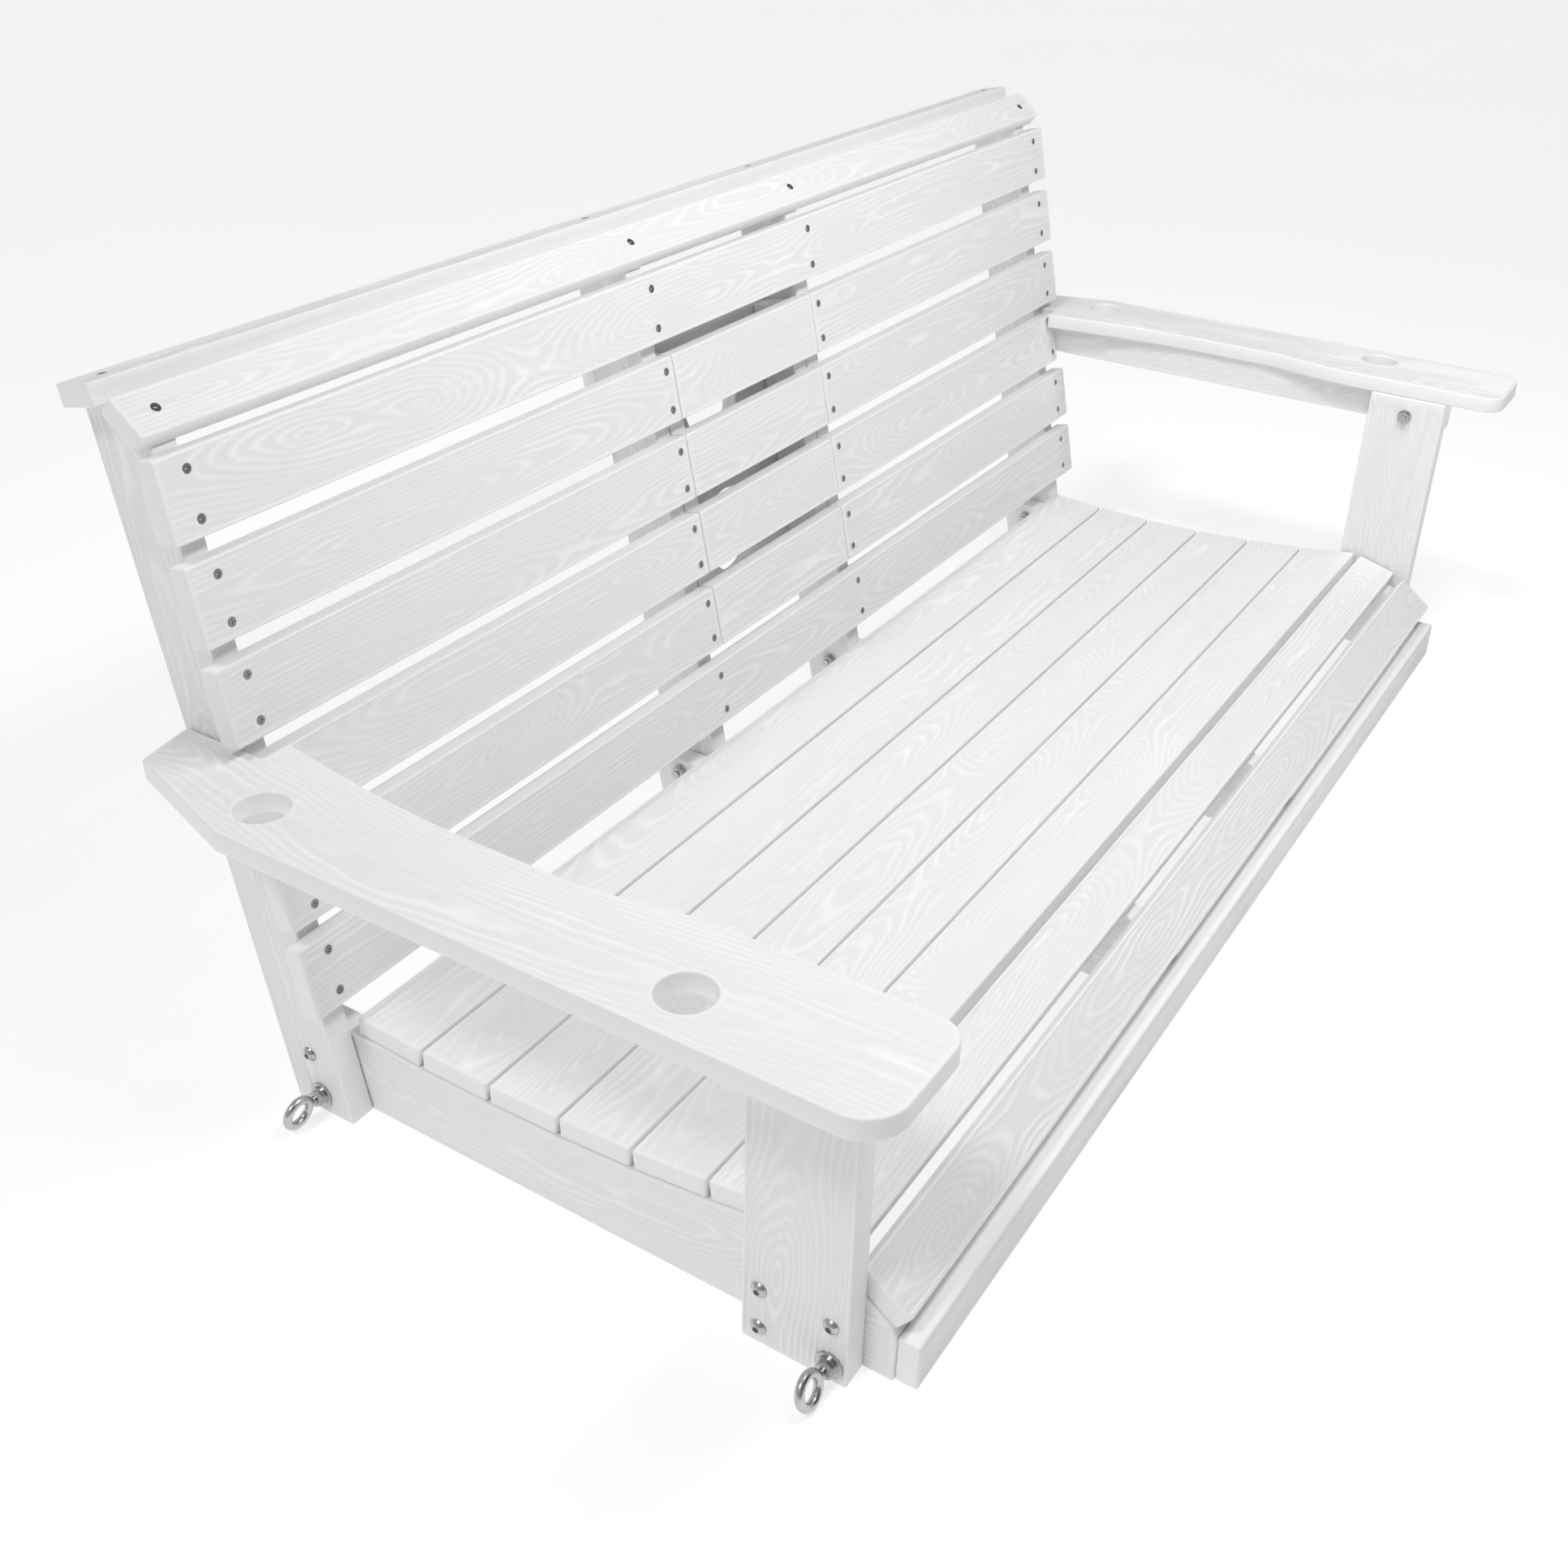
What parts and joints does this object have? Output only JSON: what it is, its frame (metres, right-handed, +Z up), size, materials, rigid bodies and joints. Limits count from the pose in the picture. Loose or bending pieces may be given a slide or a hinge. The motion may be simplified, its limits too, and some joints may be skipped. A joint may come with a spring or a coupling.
{
  "type": "porch swing seat",
  "caption": "Slatted porch swing seat in wood-grain plastic lumber with broad arms, hanging eye bolts and a fold-down cup tray in the middle of its back.",
  "frame": {"origin": "middle of the seat's overall box, on the plane of its lower edges", "axes": "+X to the right as seen from the front, +Y towards the back, +Z up"},
  "size_m": [1.678, 0.77, 0.6491],
  "materials": {
    "plastic_lumber": "off-white moulded plastic lumber with an embossed wood grain",
    "stainless_steel": "polished stainless steel"
  },
  "bodies": {
    "frame": {"side_rail_left": "plastic_lumber", "side_rail_right": "plastic_lumber", "mid_support_left": "plastic_lumber", "mid_support_right": "plastic_lumber", "seat_slat_1": "plastic_lumber", "seat_slat_2": "plastic_lumber", "seat_slat_3": "plastic_lumber", "seat_slat_4": "plastic_lumber", "seat_slat_5": "plastic_lumber", "seat_slat_6": "plastic_lumber", "seat_nose_slat": "plastic_lumber", "seat_front_slat": "plastic_lumber", "front_apron": "plastic_lumber", "front_leg_left": "plastic_lumber", "front_leg_right": "plastic_lumber", "rear_leg_left": "plastic_lumber", "rear_leg_right": "plastic_lumber", "mid_post_left": "plastic_lumber", "mid_post_right": "plastic_lumber", "tray_rest_rail": "plastic_lumber", "back_slat_1": "plastic_lumber", "back_slat_2_left": "plastic_lumber", "back_slat_2_right": "plastic_lumber", "back_slat_3_left": "plastic_lumber", "back_slat_3_right": "plastic_lumber", "back_slat_4_left": "plastic_lumber", "back_slat_4_right": "plastic_lumber", "back_slat_5_left": "plastic_lumber", "back_slat_5_right": "plastic_lumber", "back_slat_6": "plastic_lumber", "headrest_slat": "plastic_lumber", "crest_cap": "plastic_lumber", "arm_left": "plastic_lumber", "arm_right": "plastic_lumber", "arm_rail_left": "plastic_lumber", "arm_rail_right": "plastic_lumber", "eye_bolts": "stainless_steel", "eye_flange_nuts": "stainless_steel", "eye_washers": "stainless_steel", "eye_lock_nuts": "stainless_steel", "frame_bolts": "stainless_steel", "frame_washers": "stainless_steel", "frame_nuts": "stainless_steel", "tray_pivot_bolts": "stainless_steel", "back_screws": "stainless_steel", "seat_screws": "stainless_steel", "apron_screws": "stainless_steel", "arm_screws": "stainless_steel", "cap_screws": "stainless_steel", "rest_rail_screws": "stainless_steel"},
    "tray": {"tray_slat_2": "plastic_lumber", "tray_slat_3": "plastic_lumber", "tray_slat_4": "plastic_lumber", "tray_slat_5": "plastic_lumber", "tray_cup_board": "plastic_lumber", "tray_batten_left": "plastic_lumber", "tray_batten_right": "plastic_lumber", "tray_screws": "stainless_steel"}
  },
  "joints": [
    {"name": "tray_fold", "type": "hinge", "parent": "frame", "child": "tray", "pos_m": [0, 0.23825, 0.22133], "axis": [1, 0, 0], "range_deg": [0, 101.9]}
  ]
}
